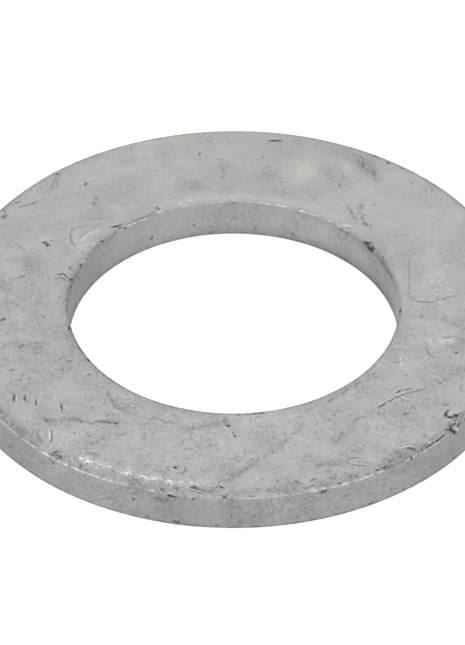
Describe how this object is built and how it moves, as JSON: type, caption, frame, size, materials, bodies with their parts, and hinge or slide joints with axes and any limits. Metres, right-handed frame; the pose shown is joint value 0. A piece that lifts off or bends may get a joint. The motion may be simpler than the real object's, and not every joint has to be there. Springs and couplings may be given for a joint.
{
  "type": "flat washer",
  "caption": "Plain round flat washer, hot-dip galvanised steel, with a clearance hole for a bolt. It spreads the load of a bolt head or nut.",
  "frame": {"origin": "centre of the bottom bearing face, on the axis of the bolt hole", "axes": "+Z along the axis of the bolt hole, from the bottom bearing face to the top one, which has the rolled-over edges; X and Y lie in the bottom face"},
  "size_m": [0.0368, 0.0368, 0.0029],
  "materials": {
    "zinc_coated_steel": "hot-dip galvanised, dull mottled grey, with small nicks and scuffs"
  },
  "bodies": {
    "root": {"washer": "zinc_coated_steel"}
  },
  "joints": []
}
